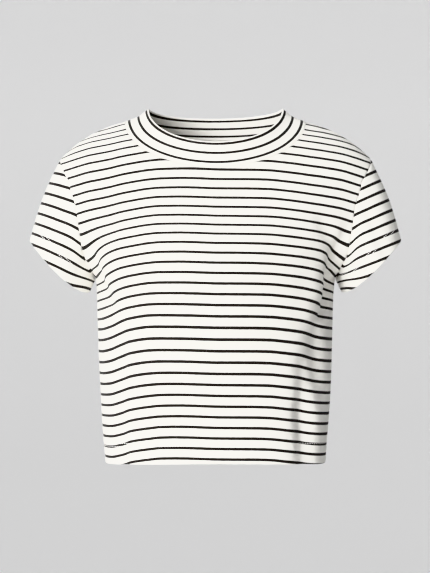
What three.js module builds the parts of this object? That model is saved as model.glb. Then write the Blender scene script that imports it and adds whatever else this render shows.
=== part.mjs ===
// A short-sleeved crop top in jersey, filled out as if worn: a front, a back, two set-in sleeves
// and a doubled neckband. Each is a thin wall of cloth, 0.3 mm clear of its neighbours at the seams.
// Millimetres. +Z is up, the front faces -Y and +X is the wearer's left.
// The origin lies midway between the two points where the shoulder seams meet the neckband.

import * as THREE from "three";

// Cloth and seams
const CLOTH_THICKNESS = 1.5;
const TURNED_HEM_EXTRA = 0.9;
const BODY_HEM_DEPTH = 25;
const SLEEVE_HEM_DEPTH = 22;
const HEM_STEP = 3;
const SEAM_GAP = 0.3;

// Neckband: a strip folded double, leaning inwards from its seam to its rim
const BAND_THICKNESS = 2.6;
const BAND_PROUD = 0.6;
const BAND_SIDE_DIP = 2.7;
const NECK_HALF_WIDTH = 110;
const NECK_FRONT_DROP = 60.7;
const NECK_BACK_DROP = 18.9;
const RIM = { halfWidth: 82.4, front: 67, back: 55, sideHeight: 15.7, frontDrop: 46.4, backDrop: 10 };
const RIM_ROUND = { rise: 1.0, lift: -0.8, thickness: 1.0 };
const SIDE_SOFTNESS = 0.08;

// Shoulder seams: a fourth-power curve from the neckband out to the sleeve
const SHOULDER_HALF_WIDTH = 189;
const SHOULDER_DROP = 45;
const SHOULDER_POWER = 4;
const EDGE_SHARPNESS = 6;

// Side seams and hem
const ARMPIT_HEIGHT = -190;
const HEM_SIDE_HEIGHT = -414;
const HEM_FRONT_RISE = 5.5;
const HEM_BACK_RISE = -1;

// Half-widths of the body's form at each height. Between the shoulder tip and the armpit, the
// widest is over the upper arm, which the armholes cut away, and the chest shapes the middle.
const WIDTHS = [
  { z: -45, widest: 189, chest: 189 },
  { z: -50, widest: 192.8, chest: 191.4 },
  { z: -56, widest: 195.4, chest: 192.6 },
  { z: -64, widest: 197, chest: 192.4 },
  { z: -80, widest: 196.6, chest: 186.5 },
  { z: -105, widest: 190, chest: 175.5 },
  { z: -130, widest: 181, chest: 164 },
  { z: -152, widest: 171, chest: 155.2 },
  { z: -168, widest: 162, chest: 150.5 },
  { z: -180, widest: 154, chest: 147.7 },
  { z: -190, widest: 146, chest: 146 },
  { z: -207, widest: 144, chest: 144 },
  { z: -250, widest: 142.5, chest: 142.5 },
  { z: -300, widest: 141, chest: 141 },
  { z: -350, widest: 138.5, chest: 138.5 },
  { z: -416, widest: 133.5, chest: 133.5 },
];

// Depth of the form in front of and behind the seams, and how square each half of the section is
const DEPTHS = [
  { z: 0, front: 24, back: 62, frontPower: 2.0, backPower: 1.7 },
  { z: -13, front: 38, back: 68, frontPower: 2.0, backPower: 1.75 },
  { z: -30, front: 56, back: 77, frontPower: 2.0, backPower: 1.8 },
  { z: -55, front: 75, back: 88, frontPower: 2.0, backPower: 1.9 },
  { z: -80, front: 88.5, back: 97, frontPower: 2.0, backPower: 2.0 },
  { z: -105, front: 100.5, back: 103, frontPower: 2.0, backPower: 2.05 },
  { z: -130, front: 112, back: 106.5, frontPower: 2.0, backPower: 2.1 },
  { z: -152, front: 120.5, back: 106.5, frontPower: 2.05, backPower: 2.15 },
  { z: -190, front: 128, back: 104, frontPower: 2.1, backPower: 2.25 },
  { z: -230, front: 128.5, back: 99, frontPower: 2.1, backPower: 2.25 },
  { z: -290, front: 117, back: 92.5, frontPower: 2.15, backPower: 2.25 },
  { z: -350, front: 107, back: 92, frontPower: 2.2, backPower: 2.2 },
  { z: -416, front: 100, back: 96, frontPower: 2.2, backPower: 2.2 },
];

// The armhole seam, as a share of the form's widest half-width at each height
const ARMHOLE = [
  { z: -45, share: 1 },
  { z: -58, share: 0.946 },
  { z: -78, share: 0.893 },
  { z: -102, share: 0.882 },
  { z: -128, share: 0.903 },
  { z: -150, share: 0.936 },
  { z: -167, share: 0.967 },
  { z: -182, share: 0.987 },
  { z: -190, share: 1 },
];

// Sleeve hem: an oval ring from its outer corner to its inner corner. Its front sags below the
// straight line between them, more towards the inner corner, and its back lies a little above.
const SLEEVE_HEM = { outerX: 226.3, outerZ: -143.3, innerX: 154, innerZ: -207, halfDepth: 54, y: 2 };
const SLEEVE_HEM_SAG = { left: 5.2, right: 6.2, skew: 0.5, backShare: 0.4 };
const SLEEVE_BULGE = 3.5;

// Largest folds, each along a line in the front view. A negative depth is a trough.
const FOLDS = [
  { name: "armpit crease, left", side: -1, from: [140, -188], to: [131, -234], width: 7, depth: -7 },
  { name: "roll before it", side: -1, from: [121, -190], to: [117, -245], width: 13, depth: 3.5 },
  { name: "chest drag, left", side: -1, from: [150, -176], to: [128, -124], width: 10, depth: -3 },
  { name: "side trough, left", side: -1, from: [112, -250], to: [118, -312], width: 12, depth: -3 },
  { name: "hem trough, left", side: -1, from: [102, -350], to: [105, -416], width: 13, depth: -3 },
  { name: "armpit crease, right", side: -1, from: [-145, -184], to: [-128, -216], width: 8, depth: -4 },
  { name: "chest drag, right", side: -1, from: [-150, -170], to: [-126, -128], width: 11, depth: -2.2 },
  { name: "side trough, right", side: -1, from: [-113, -250], to: [-110, -305], width: 12, depth: -2.5 },
  { name: "hem trough, right", side: -1, from: [-112, -360], to: [-108, -416], width: 13, depth: -2.5 },
  { name: "back drag, left", side: 1, from: [146, -180], to: [92, -228], width: 12, depth: -3.5 },
  { name: "back drag, right", side: 1, from: [-147, -176], to: [-88, -232], width: 13, depth: -4 },
  { name: "blade fold, left", side: 1, from: [136, -110], to: [112, -168], width: 12, depth: -2.5 },
  { name: "blade fold, right", side: 1, from: [-138, -116], to: [-116, -160], width: 12, depth: -3 },
  { name: "back trough, left", side: 1, from: [62, -262], to: [74, -414], width: 17, depth: -3.5 },
  { name: "back trough, right", side: 1, from: [-54, -284], to: [-70, -414], width: 18, depth: -4 },
  { name: "sleeve fold, left", side: -1, from: [184, -112], to: [203, -160], width: 9, depth: -2.5 },
  { name: "sleeve fold, right", side: -1, from: [-182, -108], to: [-205, -158], width: 9, depth: -2.5 },
  { name: "sleeve back fold, left", side: 1, from: [182, -118], to: [200, -158], width: 10, depth: -3 },
  { name: "sleeve back fold, right", side: 1, from: [-184, -112], to: [-198, -162], width: 10, depth: -3 },
];

// Mesh fineness
const HALF_COLUMNS = 20;
const NECK_COLUMNS = 10;
const LOWER_ROWS = 12;
const UPPER_ROWS = 17;
const SLEEVE_ROWS = 7;
const BAND_ROWS = 4;

const CLOTH = { color: 0xf6f4ec, roughness: 0.92, metalness: 0 };

const FRONT = -1;
const BACK = 1;
const SEAM_PULL = SEAM_GAP / 2;
const SHOULDER_FALL = SHOULDER_DROP / (1 - (NECK_HALF_WIDTH / SHOULDER_HALF_WIDTH) ** SHOULDER_POWER);
const SHOULDER_PEAK = SHOULDER_FALL - SHOULDER_DROP;

const mix = (a, b, t) => a + (b - a) * t;

const easeBothEnds = (t) => Math.sin((t * Math.PI) / 2) ** 2;

const softAbs = (value) => Math.hypot(value, SIDE_SOFTNESS) - SIDE_SOFTNESS;

// Slope of a table's column at one row, limited so that the curve never overshoots
function slopeAt(table, column, row) {
  if (row === 0 || row === table.length - 1) {
    const near = row === 0 ? 0 : row - 1;
    return (table[near + 1][column] - table[near][column]) / (table[near + 1].z - table[near].z);
  }
  const before = (table[row][column] - table[row - 1][column]) / (table[row].z - table[row - 1].z);
  const after = (table[row + 1][column] - table[row][column]) / (table[row + 1].z - table[row].z);
  if (before * after <= 0) {
    return 0;
  }
  return (2 * before * after) / (before + after);
}

// Reads a table whose rows run downwards in z, with a smooth curve through its rows
function lookUp(table, column, z) {
  const height = Math.min(table[0].z, Math.max(table[table.length - 1].z, z));
  let row = 0;
  while (row < table.length - 2 && height < table[row + 1].z) {
    row += 1;
  }
  const span = table[row + 1].z - table[row].z;
  const t = (height - table[row].z) / span;
  const startWeight = (1 + 2 * t) * (1 - t) ** 2;
  const endWeight = t * t * (3 - 2 * t);
  const startSlope = t * (1 - t) ** 2 * span * slopeAt(table, column, row);
  const endSlope = t * t * (t - 1) * span * slopeAt(table, column, row + 1);
  return startWeight * table[row][column] + endWeight * table[row + 1][column] + startSlope + endSlope;
}

function shoulderHeight(x) {
  return SHOULDER_PEAK - SHOULDER_FALL * (Math.abs(x) / SHOULDER_HALF_WIDTH) ** SHOULDER_POWER;
}

function halfWidthAt(column, z) {
  if (z > -SHOULDER_DROP) {
    return SHOULDER_HALF_WIDTH * ((SHOULDER_PEAK - z) / SHOULDER_FALL) ** (1 / SHOULDER_POWER);
  }
  return lookUp(WIDTHS, column, z);
}

// Where the side seam or the armhole lies at a height
function edgeAt(z) {
  const share = z < ARMPIT_HEIGHT ? 1 : lookUp(ARMHOLE, "share", z);
  return share * halfWidthAt("widest", z);
}

// A point of the body's form: how far the cloth stands in front of or behind the side seams.
// The chest's width rules the middle, and the widest one only the cloth next to the edge.
function onForm(x, z, side) {
  const depth = lookUp(DEPTHS, side === FRONT ? "front" : "back", z);
  const power = lookUp(DEPTHS, side === FRONT ? "frontPower" : "backPower", z);
  const edgeShare = Math.min(1, Math.abs(x) / edgeAt(z)) ** EDGE_SHARPNESS;
  const width = 1 / mix(1 / halfWidthAt("chest", z), 1 / halfWidthAt("widest", z), edgeShare);
  const across = Math.min(1, Math.abs(x) / width);
  return new THREE.Vector3(x, side * depth * (1 - across ** power) ** (1 / power), z);
}

// The top edge of a panel in the front view: the neckline, then the shoulder seam
function topEdge(u, side) {
  const neckShare = NECK_COLUMNS / HALF_COLUMNS;
  const across = Math.abs(u);
  if (across <= neckShare) {
    const turn = ((across / neckShare) * Math.PI) / 2;
    const towards = side === FRONT ? Math.cos(turn) : -Math.cos(turn);
    const shared = ((NECK_FRONT_DROP + NECK_BACK_DROP) / 2) * softAbs(towards);
    const tilt = ((NECK_FRONT_DROP - NECK_BACK_DROP) / 2) * towards;
    return { x: NECK_HALF_WIDTH * Math.sin(turn) * Math.sign(u), z: -shared - tilt };
  }
  const x = mix(NECK_HALF_WIDTH, SHOULDER_HALF_WIDTH, (across - neckShare) / (1 - neckShare));
  return { x: x * Math.sign(u), z: shoulderHeight(x) };
}

// Heights above the hem where the lower rows lie, as shares of the way up to the armpit
function lowerRowShares() {
  const length = ARMPIT_HEIGHT - HEM_SIDE_HEIGHT;
  const foldTop = (BODY_HEM_DEPTH + HEM_STEP) / length;
  const shares = [0, BODY_HEM_DEPTH / 2 / length, BODY_HEM_DEPTH / length];
  for (let row = 0; row < LOWER_ROWS; row += 1) {
    shares.push(mix(foldTop, 1, row / LOWER_ROWS));
  }
  return shares;
}

function lowerPoint(u, share, side) {
  const across = Math.sin((u * Math.PI) / 2);
  const rise = (side === FRONT ? HEM_FRONT_RISE : HEM_BACK_RISE) * (1 - across * across);
  const z = mix(HEM_SIDE_HEIGHT + rise, ARMPIT_HEIGHT, share);
  return onForm(edgeAt(z) * across, z, side);
}

function upperPoint(u, share, side) {
  const climb = easeBothEnds(share);
  const top = topEdge(u, side);
  const z = mix(ARMPIT_HEIGHT, top.z, climb);
  const edge = edgeAt(mix(ARMPIT_HEIGHT, -SHOULDER_DROP, climb));
  const across = mix(Math.sin((u * Math.PI) / 2), top.x / SHOULDER_HALF_WIDTH, climb);
  return onForm(edge * across, z, side);
}

// A panel's points, in rows from the hem to its top edge and columns from -X to +X
function panelGrid(side) {
  const grid = [];
  const columns = Array.from({ length: 2 * HALF_COLUMNS + 1 }, (_, i) => i / HALF_COLUMNS - 1);
  for (const share of lowerRowShares()) {
    grid.push(columns.map((u) => lowerPoint(u, share, side)));
  }
  for (let row = 0; row <= UPPER_ROWS; row += 1) {
    grid.push(columns.map((u) => upperPoint(u, row / UPPER_ROWS, side)));
  }
  return grid;
}

// The armhole loop: up the front edge from the armpit to the shoulder, then down the back edge
function armholeLoop(front, back, hand) {
  const column = hand > 0 ? 2 * HALF_COLUMNS : 0;
  const first = front.length - 1 - UPPER_ROWS;
  const frontEdge = front.slice(first).map((row) => row[column]);
  const backEdge = back.slice(first + 1, -1).map((row) => row[column]);
  return [...frontEdge, ...backEdge.reverse()];
}

// The sleeve hem's ring: turn 0 is the underarm, half a turn is the outer corner
function sleeveHemPoint(turn, hand) {
  const along = (1 - Math.cos(turn)) / 2;
  const forward = Math.sin(turn);
  const chord = new THREE.Vector3(SLEEVE_HEM.outerX - SLEEVE_HEM.innerX, 0, SLEEVE_HEM.outerZ - SLEEVE_HEM.innerZ);
  const outwards = new THREE.Vector3(-chord.z, 0, chord.x).normalize().multiplyScalar(-1);
  const point = new THREE.Vector3(SLEEVE_HEM.innerX, SLEEVE_HEM.y, SLEEVE_HEM.innerZ);
  point.addScaledVector(chord, along);
  point.y -= SLEEVE_HEM.halfDepth * forward;
  const sag = (hand > 0 ? SLEEVE_HEM_SAG.left : SLEEVE_HEM_SAG.right) * (1 + SLEEVE_HEM_SAG.skew * Math.cos(turn));
  point.addScaledVector(outwards, sag * forward * (forward > 0 ? 1 : SLEEVE_HEM_SAG.backShare));
  point.x *= hand;
  return point;
}

// A sleeve's points, in rows from the hem up to the armhole and columns round the loop
function sleeveGrid(loop, hand) {
  const hem = loop.map((_, i) => sleeveHemPoint((i * Math.PI) / UPPER_ROWS, hand));
  const middle = hem.reduce((sum, p) => sum.add(p), new THREE.Vector3()).divideScalar(hem.length);
  const grid = [];
  for (let row = 0; row <= SLEEVE_ROWS; row += 1) {
    const share = row / SLEEVE_ROWS;
    const bulge = SLEEVE_BULGE * Math.sin(share * Math.PI);
    grid.push(loop.map((start, i) => {
      const outwards = hem[i].clone().sub(middle).normalize();
      const size = 0.5 - 0.5 * Math.cos((i * Math.PI) / UPPER_ROWS);
      return hem[i].clone().lerp(start, share).addScaledVector(outwards, bulge * size);
    }));
  }
  return grid;
}

// The neck seam's loop: across the front from -X to +X, then back across the back panel
function neckLoop(front, back) {
  const start = HALF_COLUMNS - NECK_COLUMNS;
  const end = HALF_COLUMNS + NECK_COLUMNS;
  const frontEdge = front[front.length - 1].slice(start, end + 1);
  const backEdge = back[back.length - 1].slice(start + 1, end);
  return [...frontEdge, ...backEdge.reverse()];
}

function rimPoint(turn) {
  const forward = Math.sin(turn);
  const shared = ((RIM.frontDrop + RIM.backDrop) / 2) * softAbs(forward);
  const tilt = ((RIM.frontDrop - RIM.backDrop) / 2) * forward;
  const depth = forward > 0 ? RIM.front : RIM.back;
  return new THREE.Vector3(-RIM.halfWidth * Math.cos(turn), -depth * forward, RIM.sideHeight - shared - tilt);
}

// The neckband's points, in rows from the seam up to the rim and columns round the neck
function bandGrid(loop) {
  const rim = loop.map((_, i) => rimPoint((i * Math.PI) / (2 * NECK_COLUMNS)));
  const grid = [];
  for (let row = 0; row <= BAND_ROWS; row += 1) {
    const share = row / BAND_ROWS;
    grid.push(loop.map((start, i) => {
      const point = start.clone().lerp(rim[i], share);
      const outwards = new THREE.Vector3(start.x, start.y, NECK_HALF_WIDTH).normalize();
      const dip = BAND_SIDE_DIP * (start.x / NECK_HALF_WIDTH) ** 2;
      return point.addScaledVector(outwards, -dip * Math.sin(share * Math.PI));
    }));
  }
  grid.push(rim.map((point, i) => {
    const rise = point.clone().sub(loop[i]).normalize();
    return point.clone().addScaledVector(rise, RIM_ROUND.rise);
  }));
  return grid;
}

// One face direction for all pieces: a quad's corners in order round it, seen from outside
function eachQuad(piece, visit) {
  const { grid, closed, flipped } = piece;
  const columns = grid[0].length;
  const last = closed ? columns : columns - 1;
  for (let row = 0; row < grid.length - 1; row += 1) {
    for (let column = 0; column < last; column += 1) {
      const next = (column + 1) % columns;
      const corners = [[row, column], [row, next], [row + 1, next], [row + 1, column]];
      visit(flipped ? corners.reverse() : corners);
    }
  }
}

const pointKey = (p) => [p.x, p.y, p.z].map((value) => Math.round(value * 1000)).join(",");

// Normals shared by every piece that meets at a point, so that walls meet in a mitre
function weldedNormals(pieces) {
  const sums = new Map();
  for (const piece of pieces) {
    eachQuad(piece, (corners) => {
      const [a, b, c, d] = corners.map(([row, column]) => piece.grid[row][column]);
      const normal = c.clone().sub(a).cross(d.clone().sub(b));
      for (const point of [a, b, c, d]) {
        const key = pointKey(point);
        sums.set(key, (sums.get(key) ?? new THREE.Vector3()).add(normal));
      }
    });
  }
  for (const piece of pieces) {
    piece.normals = piece.grid.map((row) => row.map((p) => sums.get(pointKey(p)).clone().normalize()));
  }
}

function distanceToLine(x, z, from, to) {
  const along = [to[0] - from[0], to[1] - from[1]];
  const lengthSquared = along[0] ** 2 + along[1] ** 2;
  const reach = ((x - from[0]) * along[0] + (z - from[1]) * along[1]) / lengthSquared;
  const share = Math.min(1, Math.max(0, reach));
  return Math.hypot(x - from[0] - share * along[0], z - from[1] - share * along[1]);
}

// How far the folds move a point along its normal. They fade out where the cloth turns sideways.
function foldOffset(point, normal) {
  let offset = 0;
  for (const fold of FOLDS) {
    const facing = Math.min(1, Math.max(0, fold.side * normal.y * 3));
    const distance = distanceToLine(point.x, point.z, fold.from, fold.to);
    offset += fold.depth * facing * Math.exp(-((distance / fold.width) ** 2));
  }
  return offset;
}

function foldCloth(pieces) {
  for (const piece of pieces) {
    piece.grid = piece.grid.map((row, i) => row.map((point, j) => {
      const normal = piece.normals[i][j];
      return point.clone().addScaledVector(normal, foldOffset(point, normal));
    }));
  }
}

// Extra thickness of the cloth turned up inside at a hem, from the distance to the hem's edge
function hemExtra(piece, row, column) {
  if (!piece.hemDepth) {
    return 0;
  }
  const distance = piece.grid[row][column].distanceTo(piece.grid[0][column]);
  const fade = (piece.hemDepth + HEM_STEP - distance) / HEM_STEP;
  return TURNED_HEM_EXTRA * Math.min(1, Math.max(0, fade));
}

// Up the first column, across the top row and down the last column, all of it sewn
function panelSeam(grid) {
  const rows = [...grid.keys()];
  const lastRow = rows.length - 1;
  const columns = [...grid[0].keys()];
  const lastColumn = columns.length - 1;
  const up = rows.map((row) => [row, 0]);
  const across = columns.slice(1, lastColumn).map((column) => [lastRow, column]);
  const down = rows.map((row) => [lastRow - row, lastColumn]);
  return { path: [...up, ...across, ...down], closed: false };
}

function topSeam(grid) {
  return { path: [...grid[0].keys()].map((column) => [grid.length - 1, column]), closed: true };
}

function bottomSeam(grid) {
  return { path: [...grid[0].keys()].reverse().map((column) => [0, column]), closed: true };
}

// Moves a sewn edge back from its seam line by half the gap, square to the seam and to the mitre
function pulledBack(piece) {
  const { grid, normals, flipped } = piece;
  const { path, closed } = piece.seam;
  const moved = grid.map((row) => row.map((point) => point.clone()));
  path.forEach(([row, column], i) => {
    const before = closed ? (i + path.length - 1) % path.length : Math.max(0, i - 1);
    const after = closed ? (i + 1) % path.length : Math.min(path.length - 1, i + 1);
    const [start, end] = [path[before], path[after]].map(([r, c]) => grid[r][c]);
    const inwards = end.clone().sub(start).cross(normals[row][column]).normalize();
    moved[row][column].addScaledVector(inwards, flipped ? -SEAM_PULL : SEAM_PULL);
  });
  return moved;
}

// A closed wall: the outer points, the inner points behind them, and strips along the free edges
function wallGeometry(piece) {
  const { grid, normals, closed, flipped } = piece;
  const rows = grid.length;
  const columns = grid[0].length;
  const positions = [];
  const indices = [];
  const outer = (row, column) => row * columns + (column % columns);
  const inner = (row, column) => rows * columns + outer(row, column);
  const skins = grid.map((points, row) => points.map((_, column) => piece.skin(row, column)));
  const edged = pulledBack(piece);
  for (const side of ["outer", "inner"]) {
    for (let row = 0; row < rows; row += 1) {
      for (let column = 0; column < columns; column += 1) {
        const { lift, thickness } = skins[row][column];
        const depth = side === "outer" ? lift : lift - thickness;
        const point = edged[row][column].clone().addScaledVector(normals[row][column], depth);
        positions.push(point.x, point.y, point.z);
      }
    }
  }
  const corner = (index) => new THREE.Vector3().fromArray(positions, 3 * index);
  const quad = (a, b, c, d) => {
    if (corner(a).distanceTo(corner(c)) <= corner(b).distanceTo(corner(d))) {
      indices.push(a, b, c, a, c, d);
    } else {
      indices.push(b, c, d, b, d, a);
    }
  };
  eachQuad(piece, (corners) => {
    quad(...corners.map(([row, column]) => outer(row, column)));
    quad(...corners.map(([row, column]) => inner(row, column)).reverse());
  });
  const strip = (a, b) => {
    const corners = [outer(...a), outer(...b), inner(...b), inner(...a)];
    quad(...(flipped ? corners : corners.reverse()));
  };
  const lastColumn = closed ? columns : columns - 1;
  for (let column = 0; column < lastColumn; column += 1) {
    strip([0, column], [0, column + 1]);
    strip([rows - 1, column + 1], [rows - 1, column]);
  }
  for (let row = 0; !closed && row < rows - 1; row += 1) {
    strip([row + 1, 0], [row, 0]);
    strip([row, columns - 1], [row + 1, columns - 1]);
  }
  const geometry = new THREE.BufferGeometry();
  geometry.setAttribute("position", new THREE.Float32BufferAttribute(positions, 3));
  geometry.setIndex(indices);
  geometry.computeVertexNormals();
  return geometry;
}

function panelPiece(name, side) {
  const piece = { name, grid: panelGrid(side), closed: false, flipped: side === BACK };
  piece.seam = panelSeam(piece.grid);
  piece.hemDepth = BODY_HEM_DEPTH;
  return piece;
}

function sleevePiece(name, front, back, hand) {
  const grid = sleeveGrid(armholeLoop(front.grid, back.grid, hand), hand);
  const piece = { name, grid, closed: true, flipped: hand < 0 };
  piece.seam = topSeam(grid);
  piece.hemDepth = SLEEVE_HEM_DEPTH;
  return piece;
}

function clothSkin(piece) {
  return (row, column) => ({ lift: 0, thickness: CLOTH_THICKNESS + hemExtra(piece, row, column) });
}

function bandPiece(name, front, back) {
  const piece = { name, grid: bandGrid(neckLoop(front.grid, back.grid)), closed: true, flipped: false };
  piece.seam = bottomSeam(piece.grid);
  piece.skin = (row) => {
    if (row === BAND_ROWS + 1) {
      return { lift: RIM_ROUND.lift + BAND_PROUD, thickness: RIM_ROUND.thickness };
    }
    return { lift: BAND_PROUD, thickness: BAND_THICKNESS };
  };
  return piece;
}

function makeCropTop() {
  const front = panelPiece("front", FRONT);
  const back = panelPiece("back", BACK);
  const sleeveLeft = sleevePiece("sleeve_left", front, back, 1);
  const sleeveRight = sleevePiece("sleeve_right", front, back, -1);
  const neckband = bandPiece("neckband", front, back);
  const pieces = [front, back, sleeveLeft, sleeveRight, neckband];
  for (const piece of pieces) {
    piece.skin ??= clothSkin(piece);
  }
  weldedNormals(pieces);
  foldCloth(pieces);
  weldedNormals(pieces);
  const group = new THREE.Group();
  for (const piece of pieces) {
    const mesh = new THREE.Mesh(wallGeometry(piece), new THREE.MeshStandardMaterial(CLOTH));
    mesh.name = piece.name;
    group.add(mesh);
  }
  return group;
}

export default makeCropTop();
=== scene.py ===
"""A striped jersey crop top, filled out as if worn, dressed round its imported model.

The five cloth pieces are the ones a maker would cut: a front, a back, two sleeves and a doubled
neckband. Lengths in the tables are millimetres and Blender's are metres. +Z is up, the front faces
-Y and +X is the wearer's left. The form, the seam lines and the large folds are those of the part.
"""

import math

import bpy
import numpy as np
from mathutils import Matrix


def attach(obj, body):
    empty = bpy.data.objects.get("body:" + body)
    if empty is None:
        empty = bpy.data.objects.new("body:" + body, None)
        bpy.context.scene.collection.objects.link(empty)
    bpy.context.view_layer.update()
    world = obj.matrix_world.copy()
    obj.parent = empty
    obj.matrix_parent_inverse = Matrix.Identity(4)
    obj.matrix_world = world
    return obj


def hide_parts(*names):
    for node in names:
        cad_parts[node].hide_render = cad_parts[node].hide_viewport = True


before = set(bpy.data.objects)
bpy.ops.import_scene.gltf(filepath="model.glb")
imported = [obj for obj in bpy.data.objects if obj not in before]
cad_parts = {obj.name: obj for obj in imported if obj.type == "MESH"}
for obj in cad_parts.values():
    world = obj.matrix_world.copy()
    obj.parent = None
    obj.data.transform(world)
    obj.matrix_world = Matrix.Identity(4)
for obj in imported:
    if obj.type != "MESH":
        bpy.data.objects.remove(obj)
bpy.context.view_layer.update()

bl_info = {
    "name": "Striped crop top",
    "version": (1, 0, 0),
    "blender": (4, 5, 0),
    "location": "View3D > Sidebar > Crop top",
    "description": "Builds a striped jersey crop top and a plain stage for it",
    "category": "Add Mesh",
}

BODY = "root"
MM = 0.001
CM = 0.01

# The form that the cloth lies on

FRONT = -1
BACK = 1
LEFT = 1
RIGHT = -1

SHOULDER_HALF_WIDTH = 189.0
SHOULDER_DROP = 45.0
SHOULDER_POWER = 4
EDGE_SHARPNESS = 6
ARMPIT_HEIGHT = -190.0
HEM_SIDE_HEIGHT = -414.0
HEM_RISE = {FRONT: 5.5, BACK: -1.0}
NECK_HALF_WIDTH = 110.0
NECK_FRONT_DROP = 60.7
NECK_BACK_DROP = 18.9
SIDE_SOFTNESS = 0.08


def table(columns, *rows):
    """A table whose first column is the height or distance that it is read by."""
    return {name: np.array([row[i] for row in rows], float) for i, name in enumerate(columns.split())}


# Half-widths of the form: the widest is over the upper arm, which the armholes cut away
WIDTHS = table(
    "at widest chest",
    (-45, 189, 189),
    (-50, 192.8, 191.4),
    (-56, 195.4, 192.6),
    (-64, 197, 192.4),
    (-80, 196.6, 186.5),
    (-105, 190, 175.5),
    (-130, 181, 164),
    (-152, 171, 155.2),
    (-168, 162, 150.5),
    (-180, 154, 147.7),
    (-190, 146, 146),
    (-207, 144, 144),
    (-250, 142.5, 142.5),
    (-300, 141, 141),
    (-350, 138.5, 138.5),
    (-416, 133.5, 133.5),
)

# Depth before and behind the side seams, and how square each half of the section is
DEPTHS = table(
    "at front back front_power back_power",
    (0, 24, 62, 2.0, 1.7),
    (-13, 38, 68, 2.0, 1.75),
    (-30, 56, 77, 2.0, 1.8),
    (-55, 75, 88, 2.0, 1.9),
    (-80, 88.5, 97, 2.0, 2.0),
    (-105, 100.5, 103, 2.0, 2.05),
    (-130, 112, 106.5, 2.0, 2.1),
    (-152, 120.5, 106.5, 2.05, 2.15),
    (-190, 128, 104, 2.1, 2.25),
    (-230, 128.5, 99, 2.1, 2.25),
    (-290, 117, 92.5, 2.15, 2.25),
    (-350, 107, 92, 2.2, 2.2),
    (-416, 100, 96, 2.2, 2.2),
)

# The armhole seam, as a share of the widest half-width
ARMHOLE = table(
    "at share",
    (-45, 1),
    (-58, 0.946),
    (-78, 0.893),
    (-102, 0.882),
    (-128, 0.903),
    (-150, 0.936),
    (-167, 0.967),
    (-182, 0.987),
    (-190, 1),
)

SHOULDER_FALL = SHOULDER_DROP / (1 - (NECK_HALF_WIDTH / SHOULDER_HALF_WIDTH) ** SHOULDER_POWER)
SHOULDER_PEAK = SHOULDER_FALL - SHOULDER_DROP

# Sleeve hems, neckband rim and the rounded edge where cloth is folded
SLEEVE_HEM_OUTER = np.array((226.3, -143.3))
SLEEVE_HEM_INNER = np.array((154.0, -207.0))
SLEEVE_HEM_HALF_DEPTH = 54.0
SLEEVE_HEM_MIDDLE_Y = 2.0
SLEEVE_HEM_SAG = {LEFT: 5.2, RIGHT: 6.2}
SLEEVE_HEM_SKEW = 0.5
SLEEVE_HEM_BACK_SHARE = 0.4
SLEEVE_BULGE = 3.5
RIM_HALF_WIDTH = 82.4
RIM_FRONT = 67.0
RIM_BACK = 55.0
RIM_SIDE_HEIGHT = 15.7
RIM_FRONT_DROP = 46.4
RIM_BACK_DROP = 10.0
RIM_RISE = 1.0
BAND_SIDE_DIP = 2.7
BAND_PROUD = 0.6

BODY_HEM_DEPTH = 25.0
SLEEVE_HEM_DEPTH = 22.0
HEM_STEP = 3.0
TURNED_HEM_EXTRA = 0.9

# Mesh fineness
HALF_COLUMNS = 92
NECK_COLUMNS = 46
SIDE_COLUMNS = (0.0035, 0.008, 0.014)
LOWER_ROWS = 92
UPPER_ROWS = 94
SLEEVE_ROWS = 48
BAND_ROWS = 18
LEAST_COLUMN_GAP = 0.003
FOLDED_EDGE_ROWS = (0.0, 0.25, 0.7, 1.3, 2.2)
SEWN_EDGE_ROWS = (2.2, 1.2, 0.5, 0.0)
SLEEVE_LENGTH = 85.0
SMOOTH_ANGLE = 40.0

# Points share a normal where they agree to one of these steps, and are merged, in metres, at this
# distance
WELD_STEPS_PER_MM = 1000
WELD_DISTANCE = 1e-6
TINY = 1e-6

# The part's large folds: side, start, end, width and depth. A negative depth is a trough.
LARGE_FOLDS = (
    (FRONT, (140, -188), (131, -234), 7, -7),
    (FRONT, (121, -190), (117, -245), 13, 3.5),
    (FRONT, (150, -176), (128, -124), 10, -3),
    (FRONT, (112, -250), (118, -312), 12, -3),
    (FRONT, (102, -350), (105, -416), 13, -3),
    (FRONT, (-145, -184), (-128, -216), 8, -4),
    (FRONT, (-150, -170), (-126, -128), 11, -2.2),
    (FRONT, (-113, -250), (-110, -305), 12, -2.5),
    (FRONT, (-112, -360), (-108, -416), 13, -2.5),
    (BACK, (146, -180), (92, -228), 12, -3.5),
    (BACK, (-147, -176), (-88, -232), 13, -4),
    (BACK, (136, -110), (112, -168), 12, -2.5),
    (BACK, (-138, -116), (-116, -160), 12, -3),
    (BACK, (62, -262), (74, -414), 17, -3.5),
    (BACK, (-54, -284), (-70, -414), 18, -4),
    (FRONT, (184, -112), (203, -160), 9, -2.5),
    (FRONT, (-182, -108), (-205, -158), 9, -2.5),
    (BACK, (182, -118), (200, -158), 10, -3),
    (BACK, (-184, -112), (-198, -162), 10, -3),
)

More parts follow.
